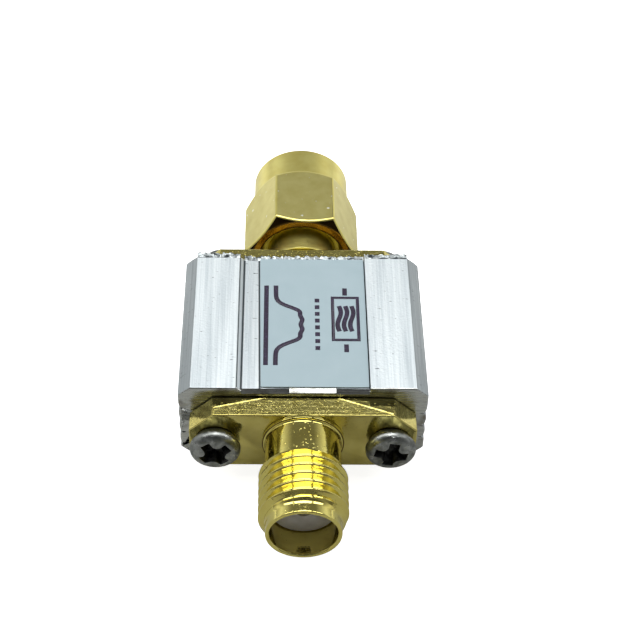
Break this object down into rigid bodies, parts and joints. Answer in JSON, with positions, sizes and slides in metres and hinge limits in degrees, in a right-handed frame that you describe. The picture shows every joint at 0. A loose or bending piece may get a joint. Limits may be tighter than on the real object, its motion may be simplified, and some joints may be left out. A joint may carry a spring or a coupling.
{
  "type": "rf bandpass filter",
  "caption": "In-line coaxial bandpass filter: ribbed aluminium box between a threaded gold-plated jack and a plug with a hexagonal coupling nut that turns.",
  "frame": {"origin": "on the coax axis, halfway between the jack's mouth and the coupling nut's mouth", "axes": "+Y along the coax axis from the jack to the plug, +Z out of the labelled face, X across the housing"},
  "size_m": [0.0176, 0.0358, 0.0082],
  "materials": {
    "sawn_aluminium": "bare extrusion, fine lengthwise streaks, sawn ends",
    "label_film": "matte printed film",
    "gold_plated_brass": "gold plated, bright",
    "insulator": "waxy white fluoropolymer",
    "screw_steel": "dark nickel-plated steel",
    "spring_bronze": "plain spring bronze",
    "silicone": "matte red silicone",
    "board_laminate": "solder-masked glass laminate",
    "ceramic": "fired ceramic",
    "bright_tin": "bright tin"
  },
  "bodies": {
    "filter": {"shell": "sawn_aluminium", "label": "label_film", "front_flange": "gold_plated_brass", "rear_flange": "gold_plated_brass", "jack_barrel": "gold_plated_brass", "jack_insulator": "insulator", "jack_contact": "gold_plated_brass", "plug_body": "gold_plated_brass", "plug_insulator": "insulator", "plug_pin": "gold_plated_brass", "retaining_ring": "spring_bronze", "plug_gasket": "silicone", "screw_front_left": "screw_steel", "screw_front_right": "screw_steel", "screw_rear_left": "screw_steel", "screw_rear_right": "screw_steel", "circuit_board": "board_laminate", "filter_case": "ceramic", "filter_lid": "bright_tin", "input_capacitor": "ceramic", "output_capacitor": "ceramic", "input_inductor": "ceramic", "output_inductor": "ceramic", "solder_front": "bright_tin", "solder_rear": "bright_tin"},
    "nut": {"coupling_nut": "gold_plated_brass"}
  },
  "joints": [
    {"name": "nut_turn", "type": "hinge", "parent": "filter", "child": "nut", "pos_m": [0, 0.01348, 0], "axis": [0, 1, 0], "continuous": true}
  ]
}
